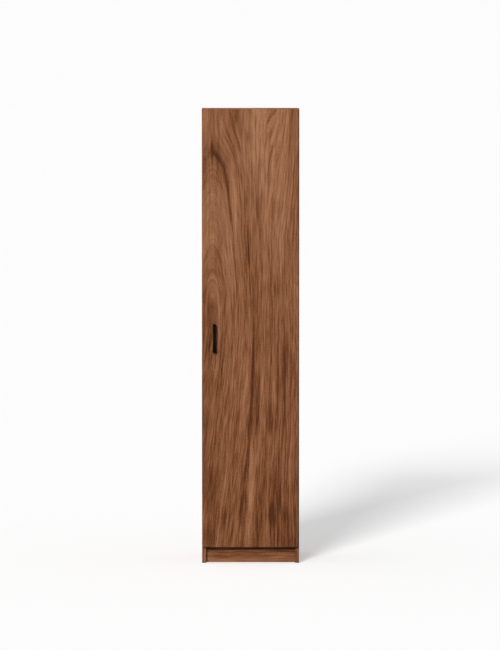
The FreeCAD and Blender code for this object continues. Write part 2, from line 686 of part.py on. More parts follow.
def hinge_arm(name, height):
    """Pressed channel that straddles the saddle; its two cheeks hold the pins of the links."""
    arm = start_piece(name)
    tip_x, tip_y = "-arm_inner_pivot_in", "-arm_inner_pivot_ahead"
    bend_x, bend_y = "-(arm_outer_pivot_in + arm_eye)", "(arm_outer_pivot_back + 2*arm_eye)"
    outline = start_sketch(arm, name + "_outline", "XY", "-arm_reach")
    draw_outline(outline, [
        (f"({tip_x} - arm_tip)", tip_y), (f"({tip_x} - arm_tip/2)", f"({tip_y} - arm_tip)"),
        (f"({tip_x} + arm_tip/2)", f"({tip_y} - arm_tip)"), (f"({tip_x} + arm_tip)", tip_y),
        (f"({tip_x} + arm_tip)", "0"), ("-plate_sheet", "saddle_front"), ("-plate_sheet", "arm_rear"),
        ("-arm_height", "arm_rear"), ("-arm_height", "arm_bend"), (bend_x, bend_y),
        (bend_x, "(arm_outer_pivot_back - arm_eye/2)"), (f"({tip_x} - arm_tip)", "0")])
    pad(arm, outline, "2*arm_reach")
    beyond = "(arm_rear + arm_sheet)"
    left = f"({bend_x} - arm_eye)"
    low = f"({tip_y} - 2*arm_tip)"
    inside = start_sketch(arm, name + "_inside", "XY", "(arm_reach - arm_sheet)")
    draw_outline(inside, [
        (left, low), ("0", low), ("0", beyond), ("-(arm_height - arm_sheet)", beyond),
        ("-(arm_height - arm_sheet)", "arm_bend"), (f"({bend_x} + arm_sheet)", bend_y), (left, bend_y)])
    pocket(arm, inside, "2*(arm_reach - arm_sheet)")
    pins = [("-arm_outer_pivot_in", "arm_outer_pivot_back"), (tip_x, tip_y)]
    drill(arm, name + "_pins", "XY", "arm_reach", "(hinge_pin + 2*fit)", pins, "2*arm_reach")
    adjuster = [("adjuster_setback", "0")]
    drill(arm, name + "_adjuster", "YZ", "-arm_height", "(adjuster + 2*fit)", adjuster, "arm_sheet", True)
    fixing = [("fixing_screw_setback", "0")]
    screw_hole = "(fixing_screw + 2*screw_clearance)"
    drill(arm, name + "_fixing", "YZ", "-arm_height", screw_hole, fixing, "arm_sheet", True)
    place(arm, INNER_FACE, FRONT, height)


def hinge_outer_link(name, height):
    """Channel from the arm to the cup, turned by its pin in the arm."""
    link = start_piece(name)
    across = "(arm_outer_pivot_in + cup_outer_pivot_out)"
    ahead = "(arm_outer_pivot_back + cup_outer_pivot_ahead)"
    length = f"sqrt({across}^2 + {ahead}^2)"
    bar = start_sketch(link, name + "_bar", "XY", "-outer_link_reach")
    draw_bar(bar, length, "outer_link_eye")
    pad(link, bar, "2*outer_link_reach")
    end = "2*outer_link_eye"
    channel = ("-" + end, "-" + end, f"({length} + {end})", "(outer_link_eye - link_sheet)")
    inside = "(outer_link_reach - link_sheet)"
    cut_rectangle(link, name + "_channel", "XY", inside, channel, "2*" + inside)
    pins = [("0", "0"), (length, "0")]
    pin_hole = "(hinge_pin + 2*hinge_pin_fit)"
    drill(link, name + "_pins", "XY", "outer_link_reach", pin_hole, pins, "2*outer_link_reach")
    x = f"({INNER_FACE} - arm_outer_pivot_in)"
    place(link, x, f"({FRONT} + arm_outer_pivot_back)", height, -Z_AXIS, f"atan2({ahead}; {across})")


def hinge_inner_link(name, height):
    """Solid bar from the arm's tip into the cup, turned by its pin in the arm."""
    link = start_piece(name)
    across = "(arm_inner_pivot_in - cup_inner_pivot_in)"
    back = "(arm_inner_pivot_ahead - cup_inner_pivot_ahead)"
    length = f"sqrt({across}^2 + {back}^2)"
    bar = start_sketch(link, name + "_bar", "XY", "-inner_link_reach")
    draw_bar(bar, length, "inner_link_eye")
    pad(link, bar, "2*inner_link_reach")
    top, through = "inner_link_reach", "2*inner_link_reach"
    drill(link, name + "_arm_pin", "XY", top, "(hinge_pin + 2*hinge_pin_fit)", [("0", "0")], through)
    drill(link, name + "_cup_pin", "XY", top, "(hinge_pin + 2*fit)", [(length, "0")], through)
    x = f"({INNER_FACE} - arm_inner_pivot_in)"
    place(link, x, f"({FRONT} - arm_inner_pivot_ahead)", height, Z_AXIS, f"atan2({back}; {across})")


for number, height in zip(HINGE_NUMBERS, HINGE_HEIGHTS):
    hinge_cup(f"hinge_cup_{number}", height)
    hinge_plate(f"hinge_plate_{number}", height)
    hinge_arm(f"hinge_arm_{number}", height)
    hinge_outer_link(f"hinge_outer_link_{number}", height)
    hinge_inner_link(f"hinge_inner_link_{number}", height)


# Hinge pins: fixed in the arm, in the cup and in the inner link's far end
def hinge_pin(name, reach):
    pin = start_body(name)
    end, radius = "(hinge_pin/2 - pin_chamfer)", "hinge_pin/2"
    turn_profile(pin, name + "_profile", [
        ("0", "-" + reach), (end, "-" + reach), (radius, f"(pin_chamfer - {reach})"),
        (radius, f"({reach} - pin_chamfer)"), (end, reach), ("0", reach)])
    return pin


arm_pins = []
for height in HINGE_HEIGHTS:
    arm_pins.append((f"({INNER_FACE} - arm_outer_pivot_in)", f"({FRONT} + arm_outer_pivot_back)", height))
    arm_pins.append((f"({INNER_FACE} - arm_inner_pivot_in)", f"({FRONT} - arm_inner_pivot_ahead)", height))
group("hinge_arm_pins", hinge_pin("arm_pin", "arm_reach"), arm_pins)
x, y = f"({INNER_FACE} + cup_outer_pivot_out)", f"({FRONT} - cup_outer_pivot_ahead)"
cup_pins = [(x, y, height) for height in HINGE_HEIGHTS]
group("hinge_cup_pins", hinge_pin("cup_pin", "(cup_pin_reach - fit)"), cup_pins)
x, y = f"({INNER_FACE} - cup_inner_pivot_in)", f"({FRONT} - cup_inner_pivot_ahead)"
link_pins = [(x, y, height) for height in HINGE_HEIGHTS]
group("hinge_link_pins", hinge_pin("link_pin", "link_pin_reach"), link_pins)


# Screws: each points down from its head, with the head's underside at the origin
def start_screw(name, shank, length, tip, head, head_height):
    screw = start_body(name)
    edge = f"{head}/2"
    turn_profile(screw, name + "_profile", [
        ("0", head_height), (f"({edge} - head_chamfer)", head_height),
        (edge, f"({head_height} - head_chamfer)"), (edge, "0"), (f"{shank}/2", "0"),
        (f"{shank}/2", f"({tip} - {length})"), ("0", "-" + length)])
    cut_cross(screw, name + "_recess", head_height, "recess_span", "recess_width", "recess_depth")
    return screw


def wood_screw(name, length):
    head_height = "wood_screw_head_height"
    return start_screw(name, "wood_screw", length, "wood_screw_tip", "wood_screw_head", head_height)


UPWARD = (X_AXIS, "180")
FORWARD = (X_AXIS, "-90")
SIDEWAYS = (Y_AXIS, "-90")
long_screw = wood_screw("long_screw", "wood_screw_length")
cup_screw = wood_screw("cup_screw", "cup_screw_length")
cup_screws = []
plate_screws = []
for height in HINGE_HEIGHTS:
    for sign in "+-":
        x, y = f"({DOOR_WIDTH}/2 - cup_inset - flange_screw_offset)", f"({DOOR_BACK} + flange_thickness)"
        cup_screws.append((x, y, f"({height} {sign} flange_screw_pitch/2)", *FORWARD))
        x, y = f"({INNER_FACE} - plate_sheet)", f"({FRONT} + plate_setback)"
        plate_screws.append((x, y, f"({height} {sign} plate_screw_pitch/2)", *SIDEWAYS))
group("hinge_cup_screws", cup_screw, cup_screws)
group("hinge_plate_screws", long_screw, plate_screws)
fixing_screw = start_screw(
    "fixing_screw", "fixing_screw", "fixing_screw_length", "end_chamfer", "fixing_screw_head",
    "fixing_screw_head_height")
x, y = f"({INNER_FACE} - arm_height)", f"({FRONT} + fixing_screw_setback)"
group("hinge_fixing_screws", fixing_screw, [(x, y, height, *SIDEWAYS) for height in HINGE_HEIGHTS])
adjuster = start_body("adjuster")
turn_profile(adjuster, "adjuster_profile", [
    ("0", "0"), ("(adjuster/2 - end_chamfer)", "0"), ("adjuster/2", "end_chamfer"),
    ("adjuster/2", "adjuster_length"), ("0", "adjuster_length")])
cut_cross(adjuster, "adjuster_recess", "adjuster_length", "recess_span", "recess_width", "recess_depth")
x, y = f"({INNER_FACE} - saddle_height)", f"({FRONT} + adjuster_setback)"
group("hinge_adjusting_screws", adjuster, [(x, y, height, *SIDEWAYS) for height in HINGE_HEIGHTS])
handle_screw = start_screw(
    "handle_screw", "handle_screw", "handle_screw_length", "end_chamfer", "handle_screw_head",
    "handle_screw_head_height")
screw_heights = [f"(handle_height {sign} handle_spacing/2)" for sign in "+-"]
group("handle_screws", handle_screw, [(HANDLE_X, DOOR_BACK, z, *FORWARD) for z in screw_heights])

# Door bumpers: stuck to the door's back, near its free edge
bumper = start_body("bumper")
turn_profile(bumper, "bumper_profile", [
    ("0", "0"), ("bumper/2", "0"), ("(bumper/2 - bumper_bevel)", "bumper_thickness"),
    ("0", "bumper_thickness")])
x = f"(bumper_inset - {DOOR_WIDTH}/2)"
ends = (f"({DOOR_BOTTOM} + bumper_end_inset)", f"({DOOR_BOTTOM} + {DOOR_HEIGHT} - bumper_end_inset)")
group("door_bumpers", bumper, [(x, DOOR_BACK, z, *FORWARD) for z in ends])

# Cams, bolts and dowels: they join the panels' ends to the sides
cam = start_body("cam")
turn_profile(cam, "cam_profile", [("0", "0"), ("cam/2", "0"), ("cam/2", "cam_height"), ("0", "cam_height")])
slot = ("-cam_slot/2", "(board/2 - cam_slot/2)", "cam_slot/2", "(board/2 + cam_slot/2)")
cut_rectangle(cam, "cam_slot", "YZ", "-cam", slot, "(cam + cam_slot_past)", True)
cut_cross(cam, "cam_recess", "0", "cam_recess", "cam_recess_width", "cam_recess_depth", True)
bolt = start_body("bolt")
turn_profile(bolt, "bolt_profile", [
    ("0", "-bolt_thread_length"), ("(bolt_thread/2 - end_chamfer)", "-bolt_thread_length"),
    ("bolt_thread/2", "(end_chamfer - bolt_thread_length)"), ("bolt_thread/2", "0"), ("bolt_shank/2", "0"),
    ("bolt_shank/2", "bolt_shank_length"), ("bolt_neck/2", "(bolt_shank_length + end_chamfer)"),
    ("bolt_neck/2", "(cam_reach - bolt_head_length)"), ("bolt_head/2", "(cam_reach - bolt_head_length)"),
    ("bolt_head/2", "cam_reach"), ("0", "cam_reach")])
dowel = start_body("dowel")
end, radius = "(dowel/2 - end_chamfer)", "dowel/2"
turn_profile(dowel, "dowel_profile", [
    ("0", "-dowel_in_side"), (end, "-dowel_in_side"), (radius, "(end_chamfer - dowel_in_side)"),
    (radius, "(dowel_in_end - end_chamfer)"), (end, "dowel_in_end"), ("0", "dowel_in_end")])
cap = start_body("cap")
turn_profile(cap, "cap_profile", [
    ("0", "-cap_thickness"), ("(cap/2 - cap_bevel)", "-cap_thickness"),
    ("cap/2", "(cap_bevel - cap_thickness)"), ("cap/2", "0"), ("cap_stem/2", "0"),
    ("cap_stem/2", "cap_stem_length"), ("0", "cap_stem_length")])
RIGHTWARD = (Y_AXIS, "90")
LEFTWARD = (Y_AXIS, "-90")
ENDS = (("-", "+", RIGHTWARD, "0"), ("", "-", LEFTWARD, "180"))
cams = []
caps = []
bolts = []
dowels = []
for name, (underside, depth) in SHELVES.items():
    middle = f"({underside} + board/2)"
    for side, inward, facing, turn in ENDS:
        for y in (f"({FRONT} + cam_setback)", f"({FRONT} + {depth} - cam_setback)"):
            spot = (f"({side}{INSIDE}/2 {inward} cam_reach)", y, underside)
            cams.append((*spot, Z_AXIS, turn))
            bolts.append((f"{side}{INSIDE}/2", y, middle, *facing))
            if name != "bottom_panel":
                caps.append(spot)
        for y in (f"({FRONT} + dowel_setback)", f"({FRONT} + {depth} - dowel_setback)"):
            dowels.append((f"{side}{INSIDE}/2", y, middle, *facing))
for side, inward, facing, turn in ENDS:
    for inset in ("plinth_dowel_inset", f"({PLINTH_HEIGHT} - plinth_dowel_inset)"):
        y = f"({FRONT} + plinth_setback + board/2)"
        dowels.append((f"{side}{INSIDE}/2", y, f"(plinth_gap + {inset})", *facing))
group("cam_locks", cam, cams)
group("cam_bolts", bolt, bolts)
group("wood_dowels", dowel, dowels)
group("cam_cover_caps", cap, caps)

# Shelf pins: two in each side
shelf_pin = start_body("shelf_pin")
radius, collar = "shelf_pin/2", "shelf_pin_collar/2"
turn_profile(shelf_pin, "shelf_pin_profile", [
    ("0", "-shelf_pin_in"), (radius, "-shelf_pin_in"), (radius, "0"), (collar, "0"),
    (collar, "shelf_pin_collar_thickness"), (radius, "shelf_pin_collar_thickness"), (radius, "shelf_pin_out"),
    ("0", "shelf_pin_out")])
pin_rows = (f"({FRONT} + row_setback)", f"({FRONT} + carcass_depth - rear_row_setback)")
pin_places = []
for side, inward, facing, turn in ENDS:
    for y in pin_rows:
        pin_places.append((f"{side}{INSIDE}/2", y, PIN_HEIGHT, *facing))
group("shelf_pins", shelf_pin, pin_places)

# Back nails: through the sheets into the rear edges of the bottom panel and the fixed shelf
nail = start_body("nail")
turn_profile(nail, "nail_profile", [
    ("0", "nail_head_height"), ("nail_head/2", "nail_head_height"), ("nail_head/2", "0"), ("nail/2", "0"),
    ("nail/2", "(nail - nail_length)"), ("0", "-nail_length")])
y = f"({SHEET_FACE} + back_sheet)"
group("back_nails", nail, [(x, y, z, *FORWARD) for z in LOWER_NAILS + UPPER_NAILS for x in NAIL_PLACES])

# Glides: nailed under the sides, they carry the cupboard
glide = start_body("glide")
turn_profile(glide, "glide_profile", [
    ("0", "0"), ("(glide/2 - end_chamfer)", "0"), ("glide/2", "end_chamfer"), ("glide/2", "foot_height"),
    ("glide_nail/2", "foot_height"), ("glide_nail/2", "(foot_height + glide_nail_length)"),
    ("0", "(foot_height + glide_nail_length)")])
glide_rows = (f"({FRONT} + glide_inset)", f"({FRONT} + carcass_depth - glide_inset)")
glide_columns = ("-(width/2 - board/2)", "(width/2 - board/2)")
group("foot_glides", glide, [(x, y, "0") for x in glide_columns for y in glide_rows])


# Corner blocks behind the plinth, and the wall bracket under the top panel
def draw_angle(body, name, leg, thickness, width):
    """Angle with its outer corner at the origin: one leg runs to +Y and one down."""
    profile = start_sketch(body, name + "_profile", "YZ", f"-{width}/2")
    under = "-" + thickness
    draw_outline(profile, [
        ("0", "0"), (leg, "0"), (leg, under), (thickness, under), (thickness, "-" + leg), ("0", "-" + leg)])
    pad(body, profile, width)


block = start_body("block")
draw_angle(block, "block", "block_leg", "block_sheet", "block_width")
screw_hole = "(wood_screw + 2*screw_clearance)"
drill(block, "block_up_screw", "XY", "0", screw_hole, [("0", BLOCK_SCREW)], "block_sheet")
drill(block, "block_front_screw", "XZ", "0", screw_hole, [("0", "-" + BLOCK_SCREW)], "block_sheet")
block_places = [f"{side}({INSIDE}/2 - block_inset)" for side in ("-", "")]
corner = f"({FRONT} + plinth_setback + board)"
group("plinth_blocks", block, [(x, corner, "base_height") for x in block_places])
block_screws = []
for x in block_places:
    block_screws.append((x, f"({corner} + {BLOCK_SCREW})", "(base_height - block_sheet)", *UPWARD))
    block_screws.append((x, f"({corner} + block_sheet)", f"(base_height - {BLOCK_SCREW})", *FORWARD))
group("plinth_block_screws", long_screw, block_screws)

bracket = start_piece("wall_bracket")
draw_angle(bracket, "bracket", "bracket_leg", "bracket_sheet", "bracket_width")
bracket_holes = [(f"{side}bracket_screw_pitch/2", BRACKET_SCREW) for side in ("-", "")]
drill(bracket, "bracket_screws", "XY", "0", screw_hole, bracket_holes, "bracket_sheet")
drill(bracket, "bracket_wall_hole", "XZ", "0", "wall_hole", [("0", "-" + BRACKET_SCREW)], "bracket_sheet")
place(bracket, "0", SHEET_FACE, "(height - board)", Z_AXIS, "180")
y, z = f"({SHEET_FACE} - {BRACKET_SCREW})", "(height - board - bracket_sheet)"
screw_columns = ("-bracket_screw_pitch/2", "bracket_screw_pitch/2")
group("wall_bracket_screws", long_screw, [(x, y, z, *UPWARD) for x in screw_columns])

doc.recompute()
for item in doc.Objects:
    if {"Invalid", "Error"} & set(item.State):
        raise ValueError(f"{item.Name} is {item.State}")
for piece in pieces:
    if piece.Shape.isNull() or not piece.Shape.isValid() or not piece.Shape.Solids:
        raise ValueError(f"{piece.Label} has no valid solid")
os.makedirs("parts", exist_ok=True)
for piece in pieces:
    piece.Shape.exportStep(f"parts/{piece.Label}.step")
print(len(pieces), "pieces,", sum(len(piece.Shape.Solids) for piece in pieces), "solids")
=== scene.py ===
import math

import bpy
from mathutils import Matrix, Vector


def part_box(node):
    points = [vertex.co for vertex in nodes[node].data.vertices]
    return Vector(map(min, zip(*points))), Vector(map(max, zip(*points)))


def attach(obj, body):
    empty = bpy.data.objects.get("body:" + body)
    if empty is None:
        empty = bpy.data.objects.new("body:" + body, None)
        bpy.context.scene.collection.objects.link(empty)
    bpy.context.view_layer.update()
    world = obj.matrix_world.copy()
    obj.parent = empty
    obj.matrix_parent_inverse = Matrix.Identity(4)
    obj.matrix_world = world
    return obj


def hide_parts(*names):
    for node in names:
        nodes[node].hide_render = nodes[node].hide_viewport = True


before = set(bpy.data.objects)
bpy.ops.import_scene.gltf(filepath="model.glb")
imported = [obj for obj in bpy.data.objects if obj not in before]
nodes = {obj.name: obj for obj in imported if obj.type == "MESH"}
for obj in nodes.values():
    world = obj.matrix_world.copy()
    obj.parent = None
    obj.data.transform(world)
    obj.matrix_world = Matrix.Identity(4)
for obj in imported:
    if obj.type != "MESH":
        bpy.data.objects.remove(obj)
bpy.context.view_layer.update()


# Door: one full-height panel of chipboard with a walnut foil on both faces and on its edges.
# The cups of the hinges and the handle's screws are let into it from behind.
class Shade:
    """A socket of a material's nodes: sums written with it add the nodes that work them out."""

    def __init__(self, tree, socket):
        self.tree = tree
        self.socket = socket

    def node(self, kind, settings, values, output=0):
        """Add a node: its settings are made first, then the values or links of its sockets."""
        made = self.tree.nodes.new("ShaderNode" + kind)
        for name, setting in settings.items():
            if name == "stops":
                while len(made.color_ramp.elements) < len(setting):
                    made.color_ramp.elements.new(1.0)
                for element, (position, colour) in zip(made.color_ramp.elements, setting):
                    element.position = position
                    element.color = colour
            else:
                setattr(made, name, setting)
        for name, value in values.items():
            if isinstance(value, Shade):
                self.tree.links.new(value.socket, made.inputs[name])
            else:
                made.inputs[name].default_value = value
        return Shade(self.tree, made.outputs[output])

    def maths(self, operation, other=0.0):
        return self.node("Math", {"operation": operation}, {0: self, 1: other})

    def __add__(self, other):
        return self.maths("ADD", other)

    def __sub__(self, other):
        return self.maths("SUBTRACT", other)

    def __rsub__(self, other):
        return self.node("Math", {"operation": "SUBTRACT"}, {0: other, 1: self})

    def __mul__(self, other):
        return self.maths("MULTIPLY", other)

    def __truediv__(self, other):
        return self.maths("DIVIDE", other)

    def __pow__(self, other):
        return self.maths("POWER", other)

    def __abs__(self):
        return self.maths("ABSOLUTE")

    __radd__ = __add__
    __rmul__ = __mul__

    def least(self, other):
        return self.maths("MINIMUM", other)

    def most(self, other):
        return self.maths("MAXIMUM", other)

    def bell(self, middle, width):
        """1 at the middle, falling off smoothly on both sides."""
        away = (self - middle)/width
        return (away*away*-1.0).maths("EXPONENT")

    def rise(self, start, end):
        """0 up to the start, 1 from the end."""
        reach = {"Value": self, "From Min": start, "From Max": end}
        return self.node("MapRange", {"interpolation_type": "SMOOTHSTEP"}, reach)

    def noise(self, x, y, z, detail=2.0, roughness=0.5):
        """Smooth noise over three values, about 0.5."""
        spot = self.node("CombineXYZ", {}, {"X": x, "Y": y, "Z": z})
        values = {"Vector": spot, "Scale": 1.0, "Detail": detail, "Roughness": roughness}
        return self.node("TexNoise", {}, values)

    def mix(self, first, second):
        """One colour or the other, by this value."""
        return self.node("Mix", {"data_type": "RGBA"}, {0: self, 6: first, 7: second}, 2)

    def ramp(self, *stops):
        """Colour along a ramp, whose stops are places from 0 to 1 with their colours."""
        return self.node("ValToRGB", {"stops": stops}, {0: self})

    def feed(self, shader, name):
        self.tree.links.new(self.socket, shader.inputs[name])

    def relief(self, shader, strength, distance):
        """Give a shader bumps of this height, with the distance in metres."""
        values = {"Strength": strength, "Distance": distance, "Height": self}
        self.node("Bump", {}, values).feed(shader, "Normal")


def paint(red, green, blue):
    """A display's red, green and blue, 0 to 255, as the colour that the shaders take."""
    colour = []
    for value in (red, green, blue):
        part = value/255
        colour.append(part/12.92 if part <= 0.04045 else ((part + 0.055)/1.055)**2.4)
    return (*colour, 1.0)


def start_finish(name):
    """Start a material: returns it, its shader and the place on the piece in metres, as x, y, z."""
    material = bpy.data.materials.new(name)
    material.use_nodes = True
    tree = material.node_tree
    shader = tree.nodes["Principled BSDF"]
    place = tree.nodes.new("ShaderNodeTexCoord")
    split = tree.nodes.new("ShaderNodeSeparateXYZ")
    tree.links.new(place.outputs["Object"], split.inputs[0])
    return material, shader, [Shade(tree, split.outputs[letter]) for letter in "XYZ"]


def dress(material, *names):
    """Give CAD nodes their material."""
    for name in names:
        mesh = nodes[name].data
        mesh.materials.clear()
        mesh.materials.append(material)


# Tones of the foil, from its darkest to its lightest, and the one that most of it has
WALNUT = [
    (0.00, paint(72, 36, 9)), (0.20, paint(106, 58, 27)), (0.38, paint(121, 74, 42)),
    (0.50, paint(131, 83, 52)), (0.62, paint(142, 92, 61)), (0.80, paint(155, 103, 71)),
    (1.00, paint(168, 118, 84))]
MIDDLE_TONE = 0.557

# Waves that bend the grain: number to a metre across and along it, seed, detail, sway in metres
SWAYS = [
    (2.5, 1.1, 0.0, 1.0, 0.018), (14.0, 5.0, 3.1, 2.0, 0.0032), (70.0, 22.0, 6.6, 1.0, 0.0014)]

# Marks of the grain: number to a metre across and along it, seed, detail and roughness
BROAD = (9.0, 0.9, 1.7, 2.0, 0.5)
BANDS = (36.0, 1.1, 5.3, 3.0, 0.6)
LINES = (120.0, 1.8, 7.9, 2.0, 0.6)
FLECKS = (250.0, 13.0, 9.2, 1.0, 0.5)
STRAIGHT = (130.0, 7.0, 8.3, 3.0, 0.6)
GRIT = (300.0, 190.0, 1.2, 1.0, 0.5)
FIBRES = (900.0, 14.0, 2.3, 1.0, 0.5)
PORES = (1700.0, 34.0, 4.4, 1.0, 0.5)
RINGS_PER_METRE = 78.0
TEETH_PER_METRE = 76.0

# An arch: how far aside it bends the growth lines and how wide its calm inside is, in metres,
# how rounded its foot is, and how much calmer its inside is than the rest
ARCH_REACH = 0.20
ARCH_INSIDE = 0.075
ARCH_ROUNDING = 0.001
ARCH_CALM = 0.72


def walnut(
        name, panel, along, across, through, seed,
        arch=None, bends=(), streaks=(), spots_and_shade=(), comb=0.0, lift=0.0):
    """Walnut foil on a panel. Its axes are given as numbers, with the grain along the first.

    arch: middle, foot, head and curve of the growth lines that close in an arch
    bends: start, end, middle, reach and slope of each place where the grain leans
    streaks: place across the growth lines, reach, strength, start and end of each dark streak
    spots_and_shade: place across and along, reach, span and strength of each darker spot, or of
    each lighter one where the strength is below 0. The darker ones give the foil's own tone,
    and on the door also painted shade
    comb: strength of the fine even lines
    lift: how much lighter the whole panel is
    """
    material, shader, place = start_finish(name)
    low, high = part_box(panel)
    length = place[along]
    width = place[across] + (place[through] - low[through])
    waves = []
    bent = width
    for wide, tall, step, detail, sway in SWAYS:
        waves.append(length.noise(width*wide, length*tall, seed + step, detail))
        bent = bent + (waves[-1] - 0.5)*sway
    for start, end, middle, reach, slope in bends:
        travel = length.node("MapRange", {}, {"Value": length, "From Min": start, "From Max": end})
        bent = bent + travel*width.bell(middle, reach)*(slope*abs(end - start))

    def marks(line, kind):
        """Marks that follow a line of growth, about 0.5."""
        wide, tall, step, detail, roughness = kind
        return line.noise(line*wide, length*tall, seed + step, detail, roughness)

    flow = bent
    inside_arch = 0.0
    if arch:
        middle, foot, head, curve = arch
        aside = bent - middle
        climb = length - foot
        rise = (climb + (climb*climb + ARCH_ROUNDING)**0.5)*0.5*curve
        flow = (aside*aside + rise*aside.bell(0.0, ARCH_REACH))**0.5
        over = aside + aside.bell(0.0, 0.12)*(curve*(head - foot))**0.5
        flow = flow + (over - flow)*length.rise(head - 0.10, head + 0.15)
        inside_arch = aside.bell(0.0, ARCH_INSIDE)*climb.rise(-0.10, 0.25)*ARCH_CALM
    calm = 1.0 - inside_arch
    broad, bands, lines, flecks, fibres, pores = [
        marks(flow, kind) for kind in (BROAD, BANDS, LINES, FLECKS, FIBRES, PORES)]
    pores = pores.rise(0.60, 0.72)
    ring = (flow*RINGS_PER_METRE + (broad - 0.5)*7.0).maths("FRACT")**4.0*bands.rise(0.35, 0.65)
    tone = (broad - 0.5) + (bands - 0.5)*1.4 + (lines - 0.5)*0.68 - ring*calm*0.16
    tone = (tone - (1.0 - bands).rise(0.56, 0.76)*0.20 + (flecks - 0.5)*1.05)*calm
    if arch:
        tone = tone + (marks(bent, STRAIGHT) - 0.5)*inside_arch*1.5
    tone = tone + (fibres - 0.5)*0.5 - pores*0.20 + (marks(bent, GRIT) - 0.5)*0.5
    tone = tone + (MIDDLE_TONE + lift)
    if comb:
        teeth = bent*TEETH_PER_METRE + (waves[0] - 0.5)*3.0 + (lines - 0.5)*0.6
        teeth = teeth.maths("FRACT").bell(0.5, 0.22)
        tone = tone - teeth*width.rise(0.02, 0.09)*bands.rise(0.3, 0.6)*comb
    for offset, reach, strength, start, end in streaks:
        span = length.rise(start, start + 0.12)*(1.0 - length.rise(end - 0.12, end))
        tone = tone - flow.bell(offset, reach)*span*(1.0 - lines).rise(0.38, 0.60)*strength
    # Darker and lighter spots of the foil's own tone; on the door the broad ones low down are also
    # painted shade
    for spot, height, reach, span, strength in spots_and_shade:
        tone = tone - width.bell(spot, reach)*length.bell(height, span)*strength
    colour = tone.ramp(*WALNUT)

    # Under the foil, where holes and grooves cut into the panel, is chipboard
    inside = None
    for axis in range(3):
        middle = (low[axis] + high[axis])/2
        depth = (high[axis] - low[axis])/2 - abs(place[axis] - middle)
        inside = depth if inside is None else inside.least(depth)
    core = inside.rise(0.0003, 0.0005)
    chips = core.noise(place[0]*700.0, place[1]*700.0, place[2]*700.0, 3.0, 0.7)
    chips = chips.ramp(
        (0.3, paint(118, 88, 58)), (0.5, paint(176, 143, 103)), (0.7, paint(214, 186, 146)))
    core.mix(colour, chips).feed(shader, "Base Color")
    (0.47 + pores*0.10 + (lines - 0.5)*0.16 + core*0.4).feed(shader, "Roughness")
    height = (fibres*0.5 - pores*0.9 + lines*0.35)*(1.0 - core) + core*chips*2.0
    height.relief(shader, 0.35, 0.0002)
    shader.inputs["Specular IOR Level"].default_value = 0.12
    return material


DOOR_BENDS = [(0.93, 0.00, -0.16, 0.20, 0.10), (1.33, 1.88, 0.13, 0.06, -0.12)]
DOOR_ARCH = (-0.153, 1.12, 1.70, 0.0170)
DOOR_STREAKS = [
    (0.186, 0.0060, 0.42, 1.30, 1.90), (0.150, 0.0050, 0.36, 0.98, 1.46),
    (0.166, 0.0050, 0.26, 0.95, 1.70), (0.100, 0.0045, 0.44, 1.02, 1.78),
    (0.169, 0.0090, 0.20, 0.10, 1.00), (0.190, 0.0060, 0.20, 0.30, 1.10),
    (0.273, 0.0120, 0.20, 0.10, 0.86), (0.241, 0.0050, 0.30, 1.25, 1.90),
    (0.038, 0.0045, 0.30, 0.55, 0.95), (0.125, 0.0060, 0.20, 1.45, 1.90)]
# Spots on the door: place across and along, reach, span and strength. The two broad ones low down
# (reach 0.26 and 0.80) make the door darker towards the bottom: partly the foil's own tone, partly
# painted shade where the light falls off downwards
DOOR_SPOTS_AND_SHADE = [
    (-0.160, 1.678, 0.019, 0.026, 0.30), (-0.150, 1.590, 0.034, 0.070, 0.12),
    (0.084, 0.198, 0.010, 0.038, 0.52), (0.096, 0.270, 0.024, 0.120, 0.20),
    (0.130, 1.115, 0.035, 0.035, 0.12), (0.060, 0.030, 0.260, 0.330, 0.32),
    (0.183, 1.620, 0.020, 0.300, 0.20), (0.158, 1.300, 0.020, 0.120, 0.20),
    (0.170, 0.420, 0.030, 0.380, 0.28), (-0.178, 1.000, 0.032, 0.200, 0.36),
    (-0.120, 1.260, 0.026, 0.130, 0.19), (-0.065, 1.480, 0.035, 0.160, -0.20),
    (-0.112, 1.790, 0.012, 0.050, -0.30), (-0.020, 1.690, 0.050, 0.090, -0.12),
    (0.042, 0.720, 0.014, 0.150, -0.32), (0.083, 0.590, 0.014, 0.090, 0.30),
    (-0.039, 0.490, 0.014, 0.130, 0.13), (0.002, 0.320, 0.014, 0.270, -0.22),
    (0.125, 1.020, 0.018, 0.300, 0.11), (-0.135, 0.420, 0.035, 0.200, -0.11),
    (0.150, 1.450, 0.022, 0.380, 0.10), (-0.148, 0.950, 0.022, 0.090, 0.12),
    (0.000, 0.350, 0.800, 0.700, 0.15)]
door_walnut = walnut(
    "walnut_door", "door_panel", 2, 0, 1, 11.0,
    DOOR_ARCH, DOOR_BENDS, DOOR_STREAKS, DOOR_SPOTS_AND_SHADE, comb=0.16, lift=0.10)
dress(door_walnut, "door_panel")


# Carcass: two sides, top, bottom and shelves of the same board, with the grain along each panel.
# Dowels and cams join them, and the sides stand on glides.
left_walnut = walnut(
    "walnut_left_side", "side_panel_left", 2, 1, 0, 23.0, (0.06, 0.9, 2.2, 0.0120))
dress(left_walnut, "side_panel_left")
right_walnut = walnut(
    "walnut_right_side", "side_panel_right", 2, 1, 0, 37.0, (-0.05, 0.5, 2.2, 0.0120), lift=0.20)
dress(right_walnut, "side_panel_right")
dress(walnut("walnut_top", "top_panel", 0, 1, 2, 41.0, lift=0.10), "top_panel")
dress(walnut("walnut_bottom", "bottom_panel", 0, 1, 2, 43.0), "bottom_panel")
dress(walnut("walnut_fixed_shelf", "fixed_shelf", 0, 1, 2, 47.0), "fixed_shelf")
dress(walnut("walnut_loose_shelf", "adjustable_shelf", 0, 1, 2, 53.0), "adjustable_shelf")
dress(walnut("walnut_plinth", "plinth", 0, 2, 1, 59.0, comb=1.4, lift=-0.04), "plinth")


# Back: two sheets of thin hardboard with a brown foil inside the cupboard.
# Behind, the hardboard is bare and shows the screen that it was pressed on, with a wire each
# 1.5 mm, here in radians to a metre.
SCREEN_MESH = 4200.0


